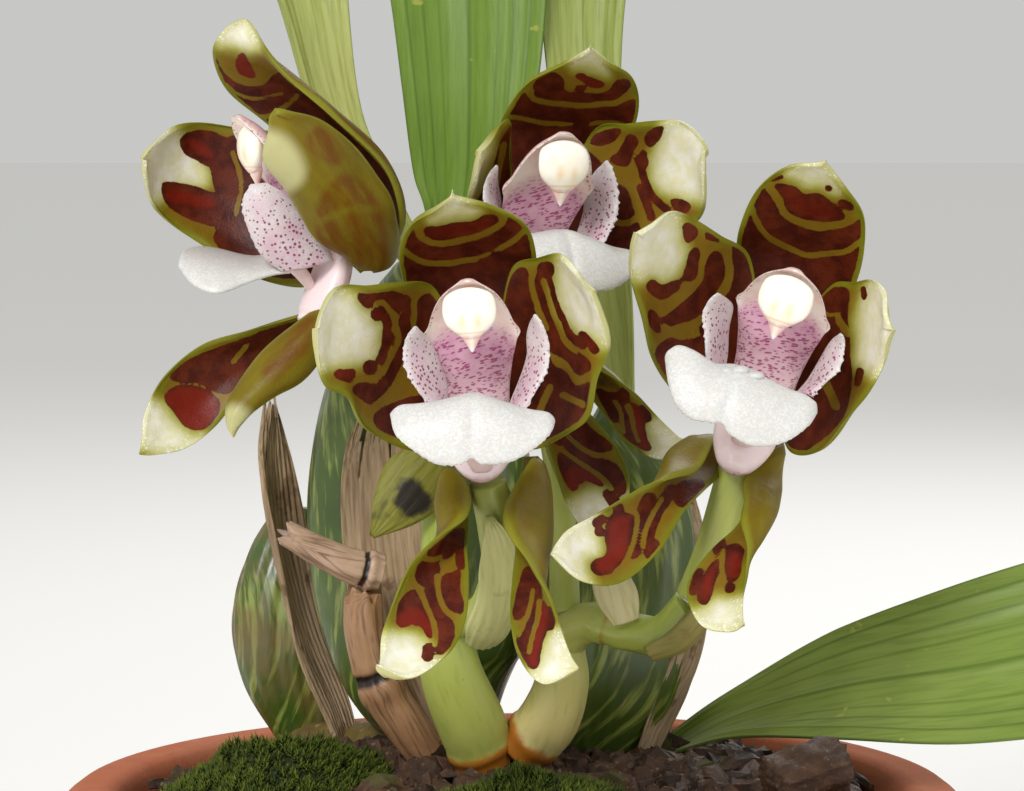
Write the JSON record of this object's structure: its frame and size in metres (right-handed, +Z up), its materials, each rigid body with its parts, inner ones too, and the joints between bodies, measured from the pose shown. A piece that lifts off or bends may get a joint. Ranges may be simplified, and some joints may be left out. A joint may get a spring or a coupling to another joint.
{
  "type": "potted orchid plant",
  "caption": "Flowering potted orchid: barred brown and green flowers with white lips on short spikes, four-angled pseudobulbs, strap leaves, mossy bark in a clay pot.",
  "frame": {"origin": "middle of the pot's flat base", "axes": "+Z up the plant, -Y towards the side the flowers face, +X to a viewer's right"},
  "size_m": [0.1866, 0.1419, 0.3013],
  "materials": {
    "tepal": "waxy satin, maroon-brown barred with yellow-green",
    "lip": "crystalline white",
    "column": "satin pink with magenta dashes",
    "anther": "smooth cream",
    "stem": "waxy yellow-green",
    "bract": "matt cream to olive",
    "bulb": "glossy dark green",
    "leaf": "satin green with darker parallel veins",
    "dry_sheath": "dry and papery",
    "moss": "soft and matt",
    "bark": "rough and matt",
    "clay": "unglazed, matt"
  },
  "bodies": {
    "root": {"front_anther_cap": "anther", "front_column": "column", "front_lip": "lip", "front_sepal_left": "tepal", "front_sepal_right": "tepal", "front_petal_left": "tepal", "front_petal_right": "tepal", "front_sepal_dorsal": "tepal", "right_anther_cap": "anther", "right_column": "column", "right_lip": "lip", "right_sepal_left": "tepal", "right_sepal_right": "tepal", "right_petal_left": "tepal", "right_petal_right": "tepal", "right_sepal_dorsal": "tepal", "upper_anther_cap": "anther", "upper_column": "column", "upper_lip": "lip", "upper_sepal_left": "tepal", "upper_sepal_right": "tepal", "upper_petal_left": "tepal", "upper_petal_right": "tepal", "upper_sepal_dorsal": "tepal", "left_anther_cap": "anther", "left_column": "column", "left_lip": "lip", "left_sepal_left": "tepal", "left_sepal_right": "tepal", "left_petal_left": "tepal", "left_petal_right": "tepal", "left_sepal_dorsal": "tepal", "front_ovary": "stem", "right_ovary": "stem", "upper_ovary": "stem", "left_ovary": "stem", "spike_left": "stem", "spike_right": "stem", "bract_front": "bract", "bract_left": "bract", "bract_upper": "bract", "bract_right": "bract", "rhizome": "bulb", "bulb_front": "bulb", "bulb_right": "bulb", "bulb_back": "bulb", "leaf_broad": "leaf", "leaf_left": "leaf", "leaf_right": "leaf", "leaf_low": "leaf", "sheath_front": "dry_sheath", "sheath_left": "dry_sheath", "sheath_right": "dry_sheath", "old_stalk": "dry_sheath", "old_stalk_stub": "dry_sheath", "pot": "clay", "moss_left": "moss", "moss_front": "moss", "bark_chip": "bark", "bark_fill": "bark"}
  },
  "joints": []
}
